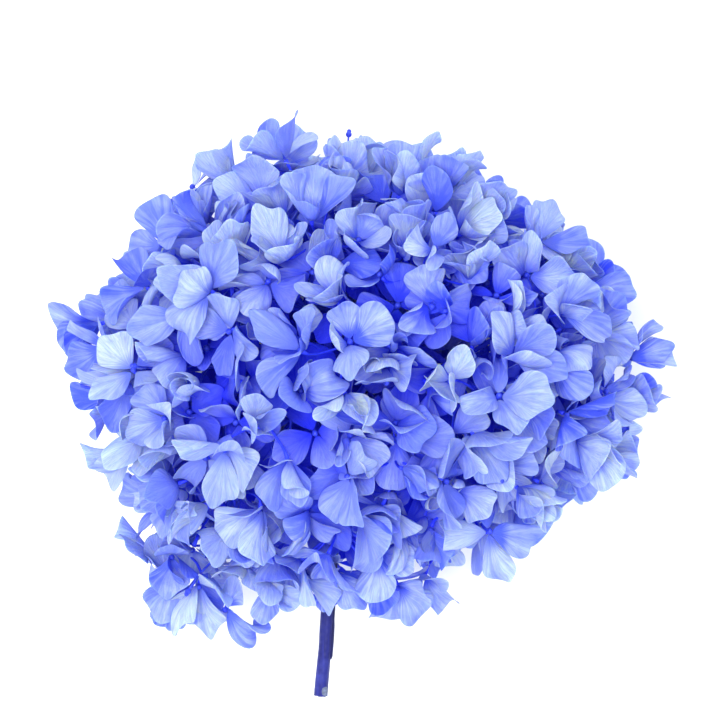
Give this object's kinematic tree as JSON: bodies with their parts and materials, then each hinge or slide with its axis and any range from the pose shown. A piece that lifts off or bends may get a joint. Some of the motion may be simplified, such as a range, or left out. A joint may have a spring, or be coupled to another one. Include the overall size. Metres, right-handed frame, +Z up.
{
  "type": "preserved hydrangea head on a cut stem",
  "caption": "Dyed and preserved mophead hydrangea: a round head of papery four-sepal florets on a short cut stem, lying on its side.",
  "frame": {"origin": "on the surface the flower lies on, under the middle of its overall box", "axes": "+Z up from that surface; +Y along the stem from its cut end to the crown of the head; +X across the head"},
  "size_m": [0.2002, 0.191, 0.161],
  "materials": {
    "sepal": "matt, papery, finely veined, dyed periwinkle blue",
    "green_parts": "smooth, slightly waxy, dyed deep blue",
    "stem_bark": "dull indigo bark with fine streaks along it"
  },
  "bodies": {
    "root": {"stem": "stem_bark", "branch_01": "green_parts", "branch_02": "green_parts", "branch_03": "green_parts", "branch_04": "green_parts", "branch_05": "green_parts", "branch_06": "green_parts", "branch_07": "green_parts", "branch_08": "green_parts", "branch_09": "green_parts", "branch_10": "green_parts", "spray_01": "sepal", "spray_02": "sepal", "spray_03": "sepal", "spray_04": "sepal", "spray_05": "sepal", "spray_06": "sepal", "spray_07": "sepal", "spray_08": "sepal", "spray_09": "sepal", "spray_10": "sepal", "spray_11": "sepal", "spray_12": "sepal", "spray_13": "sepal", "spray_14": "sepal", "spray_15": "sepal", "spray_16": "sepal", "spray_17": "sepal", "spray_18": "sepal", "spray_19": "sepal", "spray_20": "sepal", "spray_21": "sepal", "spray_22": "sepal", "spray_23": "sepal", "spray_24": "sepal", "spray_25": "sepal", "spray_26": "sepal", "spray_27": "sepal", "spray_28": "sepal", "spray_29": "sepal", "spray_30": "sepal", "spray_31": "sepal", "spray_32": "sepal", "spray_33": "sepal", "spray_34": "sepal", "spray_35": "sepal", "spray_36": "sepal", "spray_37": "sepal", "spray_38": "sepal", "spray_39": "sepal", "spray_40": "sepal", "spray_41": "sepal", "spray_42": "sepal"}
  },
  "joints": []
}
